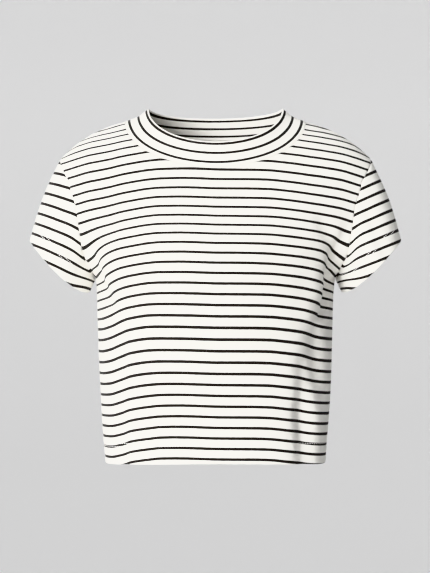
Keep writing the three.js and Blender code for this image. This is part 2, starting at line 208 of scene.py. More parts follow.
# Smaller creases, each a bent line through three points that fades out at both ends
CREASES = (
    (FRONT, (146, -186), (139, -200), (127, -207), 3.5, -2.0),
    (FRONT, (143, -196), (136, -214), (122, -222), 3.5, -1.8),
    (FRONT, (139, -212), (133, -230), (119, -240), 4, -1.6),
    (FRONT, (157, -136), (146, -160), (133, -190), 8, -5.6),
    (FRONT, (119, -222), (123, -285), (130, -345), 9, -4.4),
    (FRONT, (104, -290), (105, -350), (109, -414), 10, -5.4),
    (FRONT, (116, -8), (134, -9), (158, -20), 4, -0.9),
    (FRONT, (-116, -8), (-136, -10), (-160, -22), 4, -0.9),
    (FRONT, (126, -330), (120, -366), (121, -412), 7, 1.0),
    (FRONT, (-148, -186), (-139, -198), (-130, -203), 3.5, -1.4),
    (FRONT, (-143, -192), (-133, -212), (-118, -226), 5, -1.0),
    (FRONT, (-152, -158), (-146, -172), (-141, -190), 6, -2.6),
    (FRONT, (-117, -246), (-110, -276), (-112, -306), 5, -0.9),
    (FRONT, (-118, -356), (-109, -384), (-110, -413), 5, -1.0),
    (FRONT, (-62, -246), (-40, -252), (-14, -250), 9, 0.5),
    (FRONT, (96, -146), (70, -170), (48, -182), 11, -0.7),
    (FRONT, (-98, -150), (-74, -172), (-50, -184), 11, -0.6),
    (FRONT, (60, -220), (64, -262), (58, -300), 12, -0.6),
    (FRONT, (-70, -300), (-66, -350), (-72, -392), 12, 0.6),
    (BACK, (150, -174), (128, -186), (104, -206), 5, -1.5),
    (BACK, (143, -196), (120, -214), (98, -238), 6, -1.4),
    (BACK, (-150, -176), (-126, -188), (-100, -210), 5, -1.6),
    (BACK, (-142, -198), (-118, -218), (-94, -246), 6, -1.3),
    (BACK, (70, -236), (58, -262), (62, -300), 8, 1.2),
    (BACK, (-66, -250), (-52, -280), (-56, -330), 8, 1.3),
    (BACK, (24, -300), (16, -350), (22, -408), 11, -1.4),
    (BACK, (-104, -312), (-98, -360), (-106, -410), 9, -1.5),
    (BACK, (108, -300), (102, -348), (110, -408), 9, -1.3),
    (BACK, (-52, -34), (-30, -44), (-6, -46), 7, -0.9),
    (BACK, (10, -52), (38, -50), (62, -38), 7, -0.7),
    (BACK, (148, -92), (140, -124), (122, -150), 7, -1.0),
    (BACK, (-150, -96), (-140, -126), (-122, -148), 7, -1.1),
    (FRONT, (158, -186), (170, -176), (178, -152), 5, -1.4),
    (FRONT, (166, -196), (178, -182), (186, -160), 5, -1.1),
    (FRONT, (-158, -186), (-170, -174), (-176, -150), 5, -1.3),
    (FRONT, (-166, -196), (-178, -184), (-188, -164), 5, -1.2),
    (BACK, (158, -188), (170, -178), (182, -150), 6, -1.6),
    (BACK, (-158, -188), (-172, -178), (-180, -148), 6, -1.5),
    (BACK, (188, -84), (200, -108), (208, -134), 7, -1.2),
    (BACK, (-190, -86), (-198, -112), (-210, -136), 7, -1.1),
)

# A fold is full where the cloth's normal leans this far towards its side, and fades out as the cloth
# turns edge-on. A crease also fades at its ends, by a power of a half sine with this share of each
# end cut off
FULL_FOLD_LEAN = 1 / 3
CREASE_END = 0.12
CREASE_FADE_POWER = 0.7

# Slack: pairs of crossing waves. Each pair has its strength, and each wave its turn along X, Y and Z
# in radians per millimetre and its start
SLACK_HEIGHT = 0.34
SLACK_WAVES = (
    (1.0, (1 / 23, 0, 1 / 51, 0.4), (-1 / 90, 1 / 60, 1 / 37, 0)),
    (0.6, (1 / 13, 0, -1 / 44, 2.1), (0, 1 / 41, 1 / 19, 0.7)),
)

# Seams: a valley on the line, and a low ridge over the allowances on each side of it
SEAM_VALLEY_DEPTH = 0.75
SEAM_VALLEY_WIDTH = 1.1
SEAM_RIDGE_HEIGHT = 0.3
SEAM_RIDGE_PLACE = 3.4
SEAM_RIDGE_WIDTH = 2.0
SEAM_PULL = 0.06
PUCKER_HEIGHT = 0.16
PUCKER_LENGTH = 11.0
PUCKER_REACH = 9.0
PUCKER_DRIFT = 1.7
PUCKER_DRIFT_LENGTH = 31.0
STITCH_SINK = 0.22
STITCH_SINK_WIDTH = 1.0
THINNEST_EDGE = 0.3

# Stripes: their heights at the centre front, counted up from the hem
FRONT_STRIPES = table(
    "at number",
    (19, 37),
    (11, 36),
    (3, 35),
    (-5.3, 34),
    (-12.1, 33),
    (-20, 32),
    (-29, 31),
    (-39, 30),
    (-50, 29),
    (-73.0, 27),
    (-106.3, 24),
    (-149.2, 20),
    (-196.4, 16),
    (-234.6, 13),
    (-275.3, 10),
    (-315.0, 7),
    (-353.0, 4),
    (-402.8, 0),
    (-420, -1.4),
)
BACK_STRIPES = table(
    "at number",
    (24, 35),
    (13, 34),
    (1.5, 33),
    (-10.5, 32),
    (-23, 31),
    (-35.5, 30),
    (-48, 29),
    (-73.0, 27),
    (-109, 24),
    (-154, 20.5),
    (-196.4, 17),
    (-234.6, 14),
    (-275.3, 11),
    (-315.0, 8),
    (-353.0, 5),
    (-402.8, 1),
    (-420, -0.4),
)

# How far a stripe has dropped by each distance from the centre, on the wearer's right and left,
# at the chest, the waist and the hem
STRIPE_DROOP = table(
    "at chest_right chest_left waist_right waist_left hem_right hem_left",
    (0, 0, 0, 0, 0, 0, 0),
    (42, -1.2, 0.4, -1.1, 0.3, -1.0, 0.6),
    (64, -1.0, 1.0, -1.2, 1.0, -0.4, 1.6),
    (77, -0.1, 2.0, -0.8, 2.2, 1.3, 3.2),
    (101, 3.5, 4.5, 3.0, 5.6, 6.0, 7.1),
    (113, 5.8, 6.1, 7.0, 8.9, 10.6, 9.5),
    (126, 8.9, 7.6, 13.4, 13.0, 14.2, 11.2),
    (136, 10.8, 9.0, 16.3, 14.8, 14.9, 12.6),
    (142, 11.8, 9.8, 16.7, 15.6, 15.4, 13.5),
    (152, 13.5, 11.5, 16.9, 16.5, 16.5, 14.5),
    (166, 17.1, 15.2, 17.1, 17.5, 18, 16),
    (181, 21.2, 19.7, 21.2, 20.5, 20, 18),
    (200, 26, 25.5, 26, 25.5, 22, 20),
)
DROOP_HEIGHTS = {"chest": -150.0, "waist": -245.0, "hem": -370.0}
# Over the shoulders the cloth lies nearly level, and there a stripe is never further from the next
WIDEST_STEP = 13.5
LEVEL_STARTS = -75.0
LEVEL_REACH = 30.0
ARMPIT_PULL = 20.0
ARMPIT_PULL_PLACE = (157.0, -184.0)
ARMPIT_PULL_REACH = (20.0, 40.0)

# Lie of the sleeve stripes in the front view: count, then its change outwards and upwards
SLEEVE_STRIPES = {
    LEFT: (-14.93, -1.227, 5.909, 0.041, -0.126, -0.101),
    RIGHT: (-14.73, -1.11, 5.683, 0.066, 0.448, 0.032),
}
SLEEVE_MIDDLE = (190.0, -130.0)
SLEEVE_REACH = (40.0, 80.0)
SLEEVE_DROP = {LEFT: 7.0, RIGHT: 3.5}
SLEEVE_DROP_MIDDLE = -160.0
SLEEVE_DROP_HEIGHT = 28.0
SLEEVE_DROP_REACH = 15.0
UNDERARM_LIFT = 9.0
UNDERARM_LIFT_PLACE = (152.0, -205.0)
UNDERARM_LIFT_REACH = 17.0

BAND_HEIGHT = 31.0
BAND_STRIPE_START = 5.0
BAND_STRIPE_STEP = 11.4

# Twin-needle stitches along a hem: each one's length, width and height, its step to the next, how
# far off its direction is read on both sides, and how far its middle stands proud
NEEDLE_GAP = 3.5
STITCH_SIZE = (2.7, 0.62, 0.42)
STITCH_STEP = 3.3
STITCH_REACH = 0.8
STITCH_PROUD = 0.08
STITCH_SEGMENTS = 6
STITCH_RINGS = 4

# The knit, whose wales run up the cloth and whose courses run across it. A pair is a least and a most
STRIPE_SOFTNESS = 0.012
STRIPE_WANDER = 0.03
WANDER_SCALE = 260.0
WALES_PER_CM = 8.5
COURSES_PER_STRIPE = 17.0
COURSE_STRENGTH = 0.5
FUZZ_SCALE = 900.0
FUZZ_STRENGTH = 1.2
DYE_SCALE = 34.0
DYE_NOISE = (0.3, 0.7)
DYE_SHADES = (0.975, 1.02)
# How much the knit's waves lighten and darken the colour: a painted shade of the knit's relief
KNIT_PAINTED_SHADE = 0.012
KNIT_ROUGHNESS = (0.84, 0.97)
KNIT_SURFACE = {"Specular IOR Level": 0.25, "Sheen Weight": 0.12, "Sheen Roughness": 0.45}
KNIT_BUMP = {"strength": 0.35, "distance": 0.00022}

# Sewing thread
PLY_SCALE = 2400.0
PLY_COLOURS = ((0.82, 0.81, 0.78, 1), (0.95, 0.94, 0.92, 1))
PLY_BUMP = {"strength": 0.4, "distance": 0.0001}
THREAD_ROUGHNESS = 0.6

# The stage, in metres
CAMERA_X = -0.0006
VIEW_MIDDLE = -0.2
SENSOR_HEIGHT = 24.0
FLOOR_HEIGHT = -1.36
FLOOR_RADIUS = 3.6
FLOOR_RIM = 0.01
WALL_CURVE = 1.8
WALL_CURVE_STEPS = 12
WALL_TOP = 1.5
BACKDROP_SIDES = 96
PAPER_SCALE = 1.3
PAPER_TONES = (0.995, 1.005)
PAPER_SURFACE = {"Roughness": 1.0, "Specular IOR Level": 0.0, "Emission Color": (1, 1, 1, 1)}

# The backdrop glows a little, and more behind the garment: along Y, where that starts and ends
GLOW_PLACES = (-0.5, 4.0)
GLOW_STRENGTHS = (0.03, 0.265)
SKY_COLOUR = (0.95, 0.955, 0.965, 1)
SKY_STRENGTH = 0.16

# Soft round lights: name, place, diameter, power and colour
LIGHTS = (
    ("key_light", (-2.6, -1.7, 0.8), 1.5, 40.0, (1.0, 0.994, 0.98)),
    ("front_light", (-1.6, -2.95, 0.2), 1.5, 176.0, (1.0, 0.995, 0.985)),
    ("top_light", (0.05, -1.0, 2.6), 1.5, 28.0, (1.0, 1.0, 0.995)),
    ("back_light", (-0.6, 2.8, 1.9), 2.2, 24.0, (1.0, 1.0, 1.0)),
)


# Sizes and colours that a user would change

class ClothSettings(bpy.types.PropertyGroup):
    thickness: bpy.props.FloatProperty(
        name="Cloth thickness",
        description="Thickness of the jersey",
        default=0.0015,
        min=0.001,
        max=0.003,
        unit="LENGTH",
    )
    band_thickness: bpy.props.FloatProperty(
        name="Neckband thickness",
        description="Thickness of the doubled neckband",
        default=0.0026,
        min=0.0015,
        max=0.004,
        unit="LENGTH",
    )
    ground: bpy.props.FloatVectorProperty(
        name="Ground",
        description="Colour of the jersey between the stripes",
        default=(0.93, 0.915, 0.87),
        subtype="COLOR",
    )
    stripe: bpy.props.FloatVectorProperty(
        name="Stripe",
        description="Colour of the stripes",
        default=(0.018, 0.0158, 0.014),
        subtype="COLOR",
    )
    stripe_share: bpy.props.FloatProperty(
        name="Stripe width",
        description="Width of a stripe as a share of the distance from one to the next",
        default=0.284,
        min=0.05,
        max=0.9,
        subtype="FACTOR",
    )


class StageSettings(bpy.types.PropertyGroup):
    camera_distance: bpy.props.FloatProperty(
        name="Camera distance",
        description="Distance from the camera to the side seams",
        default=2.6,
        unit="LENGTH",
    )
    view_height: bpy.props.FloatProperty(
        name="View height",
        description="Height of the view at the side seams",
        default=0.6991,
        unit="LENGTH",
    )
    backdrop: bpy.props.FloatVectorProperty(
        name="Backdrop",
        description="Colour of the floor and the backdrop",
        default=(0.66, 0.66, 0.663),
        subtype="COLOR",
    )


def cloth_settings():
    return bpy.context.scene.crop_top_cloth


def stage_settings():
    return bpy.context.scene.crop_top_stage


# Reading the tables

def slopes(at, values):
    """Slopes at a table's rows, limited so that the curve never overshoots."""
    steps = np.diff(values) / np.diff(at)
    before, after = steps[:-1], steps[1:]
    same_way = before * after > 0
    total = np.where(same_way, before + after, 1)
    inner = np.where(same_way, 2 * before * after / total, 0)
    return np.concatenate(([steps[0]], inner, [steps[-1]]))


def look_up(rows, column, at):
    """A smooth curve through a table's rows, level beyond its ends."""
    places, values = rows["at"], rows[column]
    if places[0] > places[-1]:
        places, values = places[::-1], values[::-1]
    slope = slopes(places, values)
    at = np.clip(at, places[0], places[-1])
    row = np.clip(np.searchsorted(places, at, side="right") - 1, 0, len(places) - 2)
    span = places[row + 1] - places[row]
    t = (at - places[row]) / span
    value = (1 + 2 * t) * (1 - t) ** 2 * values[row] + t * t * (3 - 2 * t) * values[row + 1]
    bend = t * (1 - t) ** 2 * slope[row] + t * t * (t - 1) * slope[row + 1]
    return value + span * bend


def bell(distance, width):
    return np.exp(-((distance / width) ** 2))


def mix(a, b, share):
    return a + (b - a) * share


def eased(share):
    return share * share * (3 - 2 * share)


def unit(vectors):
    return vectors / np.linalg.norm(vectors, axis=-1, keepdims=True)


def ring_drop(forward, front_drop, back_drop):
    """How far a ring round the neck drops, from nothing at its sides to its front and its back."""
    either_way = np.hypot(forward, SIDE_SOFTNESS) - SIDE_SOFTNESS
    return (front_drop + back_drop) / 2 * either_way + (front_drop - back_drop) / 2 * forward


# The form's surface

def shoulder_height(x):
    return SHOULDER_PEAK - SHOULDER_FALL * (np.abs(x) / SHOULDER_HALF_WIDTH) ** SHOULDER_POWER


def half_width_at(column, z):
    over_shoulder = np.maximum((SHOULDER_PEAK - z) / SHOULDER_FALL, 0) ** (1 / SHOULDER_POWER)
    return np.where(z > -SHOULDER_DROP, SHOULDER_HALF_WIDTH * over_shoulder, look_up(WIDTHS, column, z))


def edge_at(z):
    share = np.where(z < ARMPIT_HEIGHT, 1, look_up(ARMHOLE, "share", z))
    return share * half_width_at("widest", z)


def on_form(x, z, side):
    """Points of the form at x and z. The chest's width rules the middle, the widest one the edge."""
    name = "front" if side == FRONT else "back"
    depth = look_up(DEPTHS, name, z)
    power = look_up(DEPTHS, name + "_power", z)
    edge_share = np.minimum(1, np.abs(x) / edge_at(z)) ** EDGE_SHARPNESS
    narrow, wide = 1 / half_width_at("chest", z), 1 / half_width_at("widest", z)
    across = np.minimum(1, np.abs(x) * mix(narrow, wide, edge_share))
    y = side * depth * (1 - across ** power) ** (1 / power)
    return np.stack((x, y, z), axis=-1)


def top_edge(u, side):
    """The neckline and then the shoulder seam, in the front view."""
    neck_share = NECK_COLUMNS / HALF_COLUMNS
    across = np.abs(u)
    turn = np.minimum(across / neck_share, 1) * math.pi / 2
    drop = ring_drop(-side * np.cos(turn), NECK_FRONT_DROP, NECK_BACK_DROP)
    beyond = np.clip((across - neck_share) / (1 - neck_share), 0, 1)
    shoulder_x = mix(NECK_HALF_WIDTH, SHOULDER_HALF_WIDTH, beyond)
    on_neck = across <= neck_share
    x = np.where(on_neck, NECK_HALF_WIDTH * np.sin(turn), shoulder_x)
    z = np.where(on_neck, -drop, shoulder_height(shoulder_x))
    return x * np.sign(u), z


def panel_columns():
    """Places across a panel from -1 to 1, closer together next to the side seams."""
    even = np.linspace(-1, 1, 2 * HALF_COLUMNS + 1)
    close = 1 - np.array(SIDE_COLUMNS)
    keep = np.abs(even) < close[-1] - LEAST_COLUMN_GAP
    return np.sort(np.concatenate((even[keep], close, -close, (-1, 1))))


def neck_slice(u):
    """The columns of a panel that lie on its neckline."""
    neck_share = NECK_COLUMNS / HALF_COLUMNS
    return np.where(np.abs(u) <= neck_share + TINY)[0]


def panel_grid(side):
    """Points of a panel in rows from the hem to its top edge and columns from -X to +X."""
    u = panel_columns()
    length = ARMPIT_HEIGHT - HEM_SIDE_HEIGHT
    first = np.array(FOLDED_EDGE_ROWS) / length
    share = np.concatenate((first[:-1], np.linspace(first[-1], 1, LOWER_ROWS)[:-1]))[:, None]
    across = np.sin(u * math.pi / 2)[None, :]
    bottom = HEM_SIDE_HEIGHT + HEM_RISE[side] * (1 - across ** 2)
    z = mix(bottom, ARMPIT_HEIGHT, share)
    lower = on_form(edge_at(z) * across, z, side)
    climb = np.sin(np.linspace(0, 1, UPPER_ROWS + 1) * math.pi / 2)[:, None] ** 2
    top_x, top_z = top_edge(u, side)
    z = mix(ARMPIT_HEIGHT, top_z[None, :], climb)
    edge = edge_at(mix(ARMPIT_HEIGHT, -SHOULDER_DROP, climb))
    share_across = mix(across, top_x[None, :] / SHOULDER_HALF_WIDTH, climb)
    upper = on_form(edge * share_across, z, side)
    return np.concatenate((lower, upper))


def armhole_loop(front, back, hand):
    """Up the front edge from the armpit to the shoulder, then down the back edge."""
    column = -1 if hand == LEFT else 0
    first = len(front) - 1 - UPPER_ROWS
    return np.concatenate((front[first:, column], back[first + 1:-1, column][::-1]))


def sleeve_hem_ring(hand):
    """The sleeve hem: turn 0 is the underarm and half a turn is the outer corner."""
    turn = np.arange(2 * UPPER_ROWS) * math.pi / UPPER_ROWS
    along = (1 - np.cos(turn)) / 2
    forward = np.sin(turn)
    chord = SLEEVE_HEM_OUTER - SLEEVE_HEM_INNER
    outwards = np.array((chord[1], -chord[0])) / np.hypot(*chord)
    sag = SLEEVE_HEM_SAG[hand] * forward * (1 + SLEEVE_HEM_SKEW * np.cos(turn))
    sag *= np.where(forward > 0, 1, SLEEVE_HEM_BACK_SHARE)
    x = SLEEVE_HEM_INNER[0] + chord[0] * along + outwards[0] * sag
    z = SLEEVE_HEM_INNER[1] + chord[1] * along + outwards[1] * sag
    y = SLEEVE_HEM_MIDDLE_Y - SLEEVE_HEM_HALF_DEPTH * forward
    return np.stack((hand * x, y, z), axis=-1)


def edge_shares(length, rows, start, end):
    """Shares of the way along a length, closer together at its two ends."""
    first = np.array(start) / length
    last = 1 - np.array(end) / length
    middle = np.linspace(first[-1], last[0], rows)[1:-1]
    return np.concatenate((first, middle, last))


def sleeve_grid(loop, hand):
    hem = sleeve_hem_ring(hand)
    turn = np.arange(len(loop)) * math.pi / UPPER_ROWS
    share = edge_shares(SLEEVE_LENGTH, SLEEVE_ROWS, FOLDED_EDGE_ROWS, SEWN_EDGE_ROWS)[:, None, None]
    outwards = unit(hem - hem.mean(axis=0))
    size = (0.5 - 0.5 * np.cos(turn))[None, :, None]
    bulge = SLEEVE_BULGE * np.sin(share * math.pi) * size
    return mix(hem[None], loop[None], share) + bulge * outwards[None]


def neck_loop(front, back):
    """Across the front from -X to +X, then back across the back panel."""
    columns = neck_slice(panel_columns())
    return np.concatenate((front[-1, columns], back[-1, columns[1:-1]][::-1]))


def rim_ring(count):
    """The neckband's rim: turn 0 is on the wearer's right, and a quarter turn is the front."""
    turn = np.arange(count) * 2 * math.pi / count
    forward = np.sin(turn)
    x = -RIM_HALF_WIDTH * np.cos(turn)
    y = -np.where(forward > 0, RIM_FRONT, RIM_BACK) * forward
    z = RIM_SIDE_HEIGHT - ring_drop(forward, RIM_FRONT_DROP, RIM_BACK_DROP)
    return np.stack((x, y, z), axis=-1)


def band_grid(loop):
    """The neckband in rows from its seam up to its rim."""
    rim = rim_ring(len(loop))
    rim = rim + RIM_RISE * unit(rim - loop)
    share = edge_shares(BAND_HEIGHT, BAND_ROWS, SEWN_EDGE_ROWS[::-1], FOLDED_EDGE_ROWS[::-1])
    share = share[:, None, None]
    outwards = unit(loop * (1, 1, 0) + (0, 0, NECK_HALF_WIDTH))
    dip = BAND_SIDE_DIP * (loop[:, :1] / NECK_HALF_WIDTH) ** 2
    return mix(loop[None], rim[None], share) - dip * np.sin(share * math.pi) * outwards[None]


# The cloth as it hangs on the form

class Cloth:
    """A piece of cloth: its grid of points, whether it closes in a loop, and how deep its hem is."""

    def __init__(self, name, grid, closed, turned_over, hem_depth=0.0):
        self.name = name
        self.grid = grid
        self.closed = closed
        self.turned_over = turned_over
        self.hem_depth = hem_depth
        self.before_folds = grid.copy()

    def looped(self, values):
        """Values on the grid, with a closed loop's first column repeated at its end."""
        if not self.closed:
            return values
        return np.concatenate((values, values[:, :1]), axis=1)

    def along(self):
        """Distance of each point up its column from the first row."""
        steps = np.linalg.norm(np.diff(self.grid, axis=0), axis=2)
        return np.concatenate((np.zeros((1, steps.shape[1])), np.cumsum(steps, axis=0)))

    def across(self):
        """Distance of each point along its row from the first column."""
        steps = np.linalg.norm(np.diff(self.looped(self.grid), axis=1), axis=2)
        return np.concatenate((np.zeros((steps.shape[0], 1)), np.cumsum(steps, axis=1)), axis=1)


def quad_corners(cloth):
    """Corner points of every quad, in order round it as seen from outside."""
    points = cloth.looped(cloth.grid)
    corners = [points[:-1, :-1], points[:-1, 1:], points[1:, 1:], points[1:, :-1]]
    return corners[::-1] if cloth.turned_over else corners


def welded_normals(cloths):
    """Normals shared by all the pieces that meet at a point, so that their walls meet in a mitre."""
    places, normals = [], []
    for cloth in cloths:
        a, b, c, d = quad_corners(cloth)
        normal = np.cross(c - a, d - b)
        for corner in (a, b, c, d):
            places.append(corner.reshape(-1, 3))
            normals.append(normal.reshape(-1, 3))
    keys = np.round(np.concatenate(places) * WELD_STEPS_PER_MM).astype(np.int64)
    found, which = np.unique(keys, axis=0, return_inverse=True)
    which = which.reshape(-1)
    sums = np.zeros((len(found), 3))
    np.add.at(sums, which, np.concatenate(normals))
    sums = unit(sums)
    start = 0
    for cloth in cloths:
        rows, columns = cloth.looped(cloth.grid).shape[:2]
        quads = (rows - 1) * (columns - 1)
        parts = which[start:start + 4 * quads].reshape(4, rows - 1, columns - 1)
        a, b, c, d = parts[::-1] if cloth.turned_over else parts
        index = np.zeros((rows, columns), np.int64)
        index[:-1, :-1], index[:-1, 1:], index[1:, 1:], index[1:, :-1] = a, b, c, d
        cloth.normals = sums[index[:, :cloth.grid.shape[1]]]
        start += 4 * quads


def line_distance(x, z, start, end):
    """Distance from a straight line in the front view, and the nearest point's share of the way."""
    along = np.array(end, float) - np.array(start, float)
    reach = ((x - start[0]) * along[0] + (z - start[1]) * along[1]) / (along @ along)
    share = np.clip(reach, 0, 1)
    return np.hypot(x - start[0] - share * along[0], z - start[1] - share * along[1]), share


def facing(normals, side):
    """How much of a fold the cloth shows: all where it faces the fold's side, none where edge-on."""
    return np.clip(side * normals[..., 1] / FULL_FOLD_LEAN, 0, 1)


def large_fold_offset(points, normals):
    offset = np.zeros(points.shape[:2])
    for side, start, end, width, depth in LARGE_FOLDS:
        distance, _ = line_distance(points[..., 0], points[..., 2], start, end)
        offset += depth * facing(normals, side) * bell(distance, width)
    return offset


def crease_offset(points, normals):
    """Small creases along bent lines, faded at their ends."""
    offset = np.zeros(points.shape[:2])
    x, z = points[..., 0], points[..., 2]
    for side, start, bend, end, width, depth in CREASES:
        first, first_share = line_distance(x, z, start, bend)
        second, second_share = line_distance(x, z, bend, end)
        share = np.where(first < second, first_share / 2, 0.5 + second_share / 2)
        fade = np.sin(math.pi * mix(CREASE_END, 1 - CREASE_END, share)) ** CREASE_FADE_POWER
        offset += depth * facing(normals, side) * fade * bell(np.minimum(first, second), width)
    return offset


def slack_offset(points):
    """The gentle unevenness of cloth that nothing presses flat."""
    waves = np.zeros(points.shape[:2])
    for strength, *pair in SLACK_WAVES:
        first, second = (np.sin(points @ np.array(turns) + start) for *turns, start in pair)
        waves += strength * first * second
    return SLACK_HEIGHT * waves


def fold_cloth(cloths):
    welded_normals(cloths)
    for cloth in cloths:
        offset = large_fold_offset(cloth.grid, cloth.normals)
        offset += crease_offset(cloth.grid, cloth.normals) + slack_offset(cloth.grid)
        cloth.grid = cloth.grid + offset[..., None] * cloth.normals
    welded_normals(cloths)


def make_cloths():
    front = Cloth("front", panel_grid(FRONT), False, False, BODY_HEM_DEPTH)
    back = Cloth("back", panel_grid(BACK), False, True, BODY_HEM_DEPTH)
    loops = {hand: armhole_loop(front.grid, back.grid, hand) for hand in (LEFT, RIGHT)}
    left = Cloth("sleeve_left", sleeve_grid(loops[LEFT], LEFT), True, False, SLEEVE_HEM_DEPTH)
    right = Cloth("sleeve_right", sleeve_grid(loops[RIGHT], RIGHT), True, True, SLEEVE_HEM_DEPTH)
    band = Cloth("neckband", band_grid(neck_loop(front.grid, back.grid)), True, False)
    cloths = [front, back, left, right, band]
    fold_cloth(cloths)
    return {cloth.name: cloth for cloth in cloths}


# Stripes

def way_down(z, upper, lower):
    """Eased share of the way down from one of the droop's heights to another."""
    top, bottom = DROOP_HEIGHTS[upper], DROOP_HEIGHTS[lower]
    return eased(np.clip((top - z) / (top - bottom), 0, 1))


def droop_at(hand, away, z):
    """How far a stripe has dropped at a distance from the centre, blended by height."""
    chest, waist, hem = (look_up(STRIPE_DROOP, level + hand, away) for level in DROOP_HEIGHTS)
    above_waist = mix(chest, waist, way_down(z, "chest", "waist"))
    return mix(above_waist, hem, way_down(z, "waist", "hem"))


def body_stripes(points, side):
    """Stripe count at points of the front or back: whole numbers are the middles of stripes."""
    x, z = points[..., 0], points[..., 2]
    away = np.abs(x)
    droop = np.where(x > 0, droop_at("_left", away, z), droop_at("_right", away, z))
    pull_x, pull_z = ARMPIT_PULL_PLACE
    pull = bell(away - pull_x, ARMPIT_PULL_REACH[0]) * bell(z - pull_z, ARMPIT_PULL_REACH[1])
    heights = FRONT_STRIPES if side == FRONT else BACK_STRIPES
    return look_up(heights, "number", z + droop + ARMPIT_PULL * pull)


def closed_up(cloth, count):
    """The count with its stripes no further apart than they were knitted, over the shoulders."""
    near_top = eased(np.clip((cloth.before_folds[1:, :, 2] - LEVEL_STARTS) / LEVEL_REACH, 0, 1))
    least = near_top * np.diff(cloth.along(), axis=0) / WIDEST_STEP
    rises = np.diff(count, axis=0)
    rises = np.where(near_top > 0, np.maximum(rises, least), rises)
    return np.concatenate((count[:1], count[:1] + np.cumsum(rises, axis=0)))


def sleeve_stripes(points, hand, from_seam):
    """Stripe count on a sleeve. Low on the armhole, the stripes drop towards the seam."""
    away, height = np.abs(points[..., 0]), points[..., 2]
    drop = SLEEVE_DROP[hand] * bell(height - SLEEVE_DROP_MIDDLE, SLEEVE_DROP_HEIGHT)
    drop *= bell(from_seam, SLEEVE_DROP_REACH)
    from_corner = np.hypot(away - UNDERARM_LIFT_PLACE[0], height - UNDERARM_LIFT_PLACE[1])
    drop -= UNDERARM_LIFT * bell(from_corner, UNDERARM_LIFT_REACH)
    x = (away - SLEEVE_MIDDLE[0]) / SLEEVE_REACH[0]
    z = (height + drop - SLEEVE_MIDDLE[1]) / SLEEVE_REACH[1]
    count, outwards, upwards, bend, twist, spread = SLEEVE_STRIPES[hand]
    return count + outwards * x + upwards * z + bend * x * x + twist * x * z + spread * z * z


def band_stripes(cloth):
    along = cloth.along()
    share = along / along[-1:]
    return (share * BAND_HEIGHT - BAND_STRIPE_START) / BAND_STRIPE_STEP


def stripe_count(cloth):
    if cloth.name in ("front", "back"):
        count = body_stripes(cloth.before_folds, FRONT if cloth.name == "front" else BACK)
        return closed_up(cloth, count)
    if cloth.name == "neckband":
        return band_stripes(cloth)
    hand = LEFT if cloth.name == "sleeve_left" else RIGHT
    return sleeve_stripes(cloth.before_folds, hand, sewn_distance(cloth))


# Walls

def sewn_distance(cloth):
    """Distance to the nearest sewn edge of a piece."""
    along = cloth.along()
    if cloth.name == "neckband":
        return along
    to_top = along[-1:] - along
    if cloth.closed:
        return to_top
    across = cloth.across()
    return np.minimum(to_top, np.minimum(across, across[:, -1:] - across))


def folded_distance(cloth):
    """Distance to the folded edge of a hem, or to the neckband's rim."""
    along = cloth.along()
    return along[-1:] - along if cloth.name == "neckband" else along


def needle_rows(cloth):
    """Distances of the two rows of stitches from a hem's folded edge."""
    return cloth.hem_depth, cloth.hem_depth - NEEDLE_GAP


def hem_relief(cloth, folded):
    """The dents along a hem's stitches, and the slight pucker of the cloth there."""
    across = cloth.across()[:, :cloth.grid.shape[1]]
    drift = PUCKER_DRIFT * np.sin(across / PUCKER_DRIFT_LENGTH)
    ripple = np.sin(2 * math.pi * across / PUCKER_LENGTH + drift)
    relief = PUCKER_HEIGHT * ripple * bell(folded - cloth.hem_depth, PUCKER_REACH)
    for row in needle_rows(cloth):
        relief -= STITCH_SINK * bell(folded - row, STITCH_SINK_WIDTH)
    return relief


def wall_skin(cloth):
    """How far the outside is lifted off the form, and the wall's thickness, at every point."""
    settings = cloth_settings()
    sewn, folded = sewn_distance(cloth), folded_distance(cloth)
    if cloth.name == "neckband":
        thickness = settings.band_thickness / MM
        lift = BAND_PROUD
    else:
        fade = np.clip((cloth.hem_depth + HEM_STEP - folded) / HEM_STEP, 0, 1)
        thickness = settings.thickness / MM + TURNED_HEM_EXTRA * fade
        lift = hem_relief(cloth, folded)
    valley = SEAM_VALLEY_DEPTH * bell(sewn, SEAM_VALLEY_WIDTH)
    ridge = SEAM_RIDGE_HEIGHT * bell(sewn - SEAM_RIDGE_PLACE, SEAM_RIDGE_WIDTH)
    into_round = np.clip(1 - folded / (thickness / 2), 0, 1)
    rounded = np.maximum(thickness * np.sqrt(1 - into_round ** 2), THINNEST_EDGE)
    return lift - valley + ridge - (thickness - rounded) / 2, rounded


def pulled_back(cloth):
    """The grid with its sewn edges moved back a little from the seam lines."""
    grid = cloth.grid.copy()
    if cloth.name == "neckband":
        edges = [(grid[0], grid[1])]
    else:
        edges = [(grid[-1], grid[-2])]
    if not cloth.closed:
        edges += [(grid[:, 0], grid[:, 1]), (grid[:, -1], grid[:, -2])]
    for edge, inside in edges:
        step = inside - edge
        length = np.maximum(np.linalg.norm(step, axis=1, keepdims=True), TINY)
        edge += step / length * np.minimum(SEAM_PULL, length / 2)
    return grid


def outer_and_inner(cloth):
    """The grids of a wall's outside and inside."""
    lift, thickness = wall_skin(cloth)
    grid = pulled_back(cloth)
    outer = grid + lift[..., None] * cloth.normals
    inner = grid + (lift - thickness)[..., None] * cloth.normals
    return outer, inner


def deselect_all():
    if bpy.context.object and bpy.context.object.mode != "OBJECT":
        bpy.ops.object.mode_set(mode="OBJECT")
    bpy.ops.object.select_all(action="DESELECT")


def as_floats(values):
    return values.astype(np.float32).ravel()


